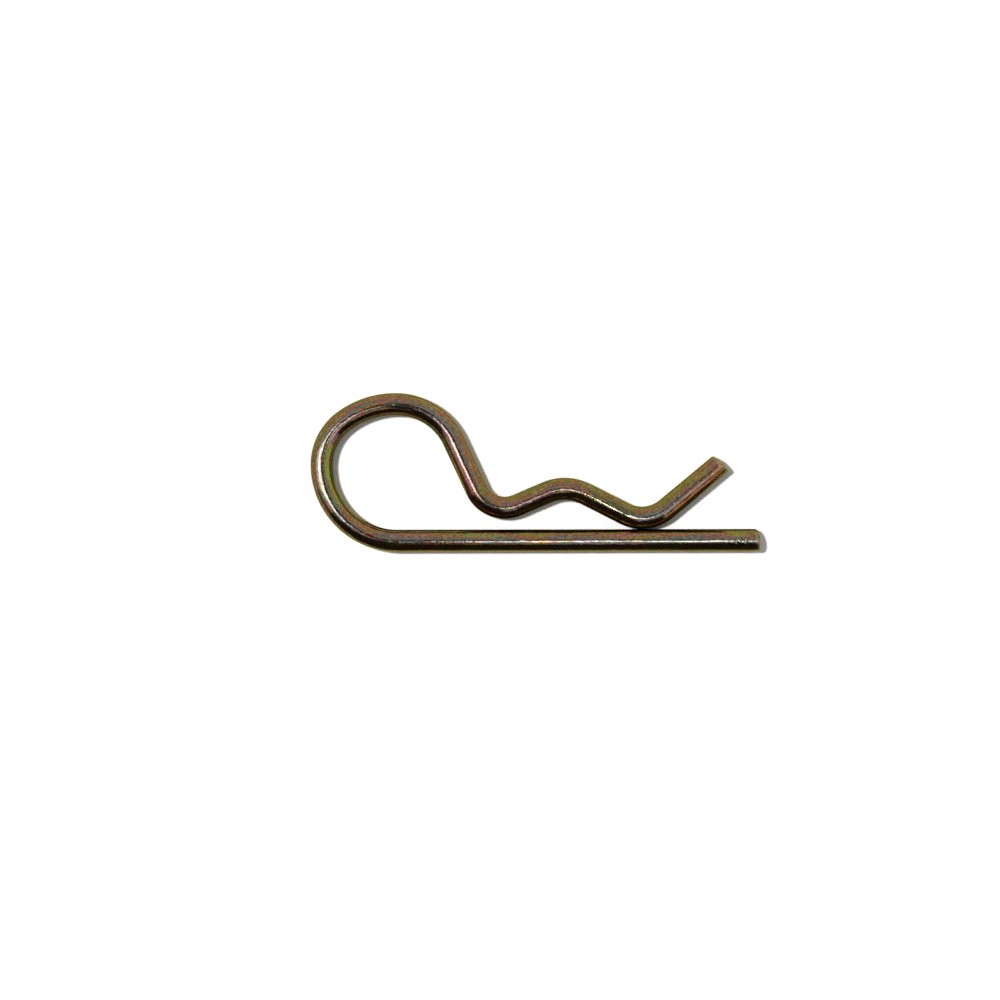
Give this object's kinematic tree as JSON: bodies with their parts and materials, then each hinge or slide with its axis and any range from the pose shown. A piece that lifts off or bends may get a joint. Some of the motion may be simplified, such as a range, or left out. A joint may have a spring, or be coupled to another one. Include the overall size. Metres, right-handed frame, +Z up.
{
  "type": "hitch pin r clip",
  "caption": "R clip bent from round spring wire: a straight leg, a round loop and a wavy arm that grips a hitch pin.",
  "frame": {"origin": "on the surface the clip lies on, under the middle of its outline seen from above", "axes": "+X along the straight leg, from the loop to the leg's free end; +Y in the bend plane, from the straight leg towards the wavy arm; +Z up, square to the bend plane"},
  "size_m": [0.0803, 0.0284, 0.004],
  "materials": {
    "spring_wire": "iridescent yellow chromate over bright zinc plate on drawn spring steel wire"
  },
  "bodies": {
    "root": {"r_clip": "spring_wire"}
  },
  "joints": []
}
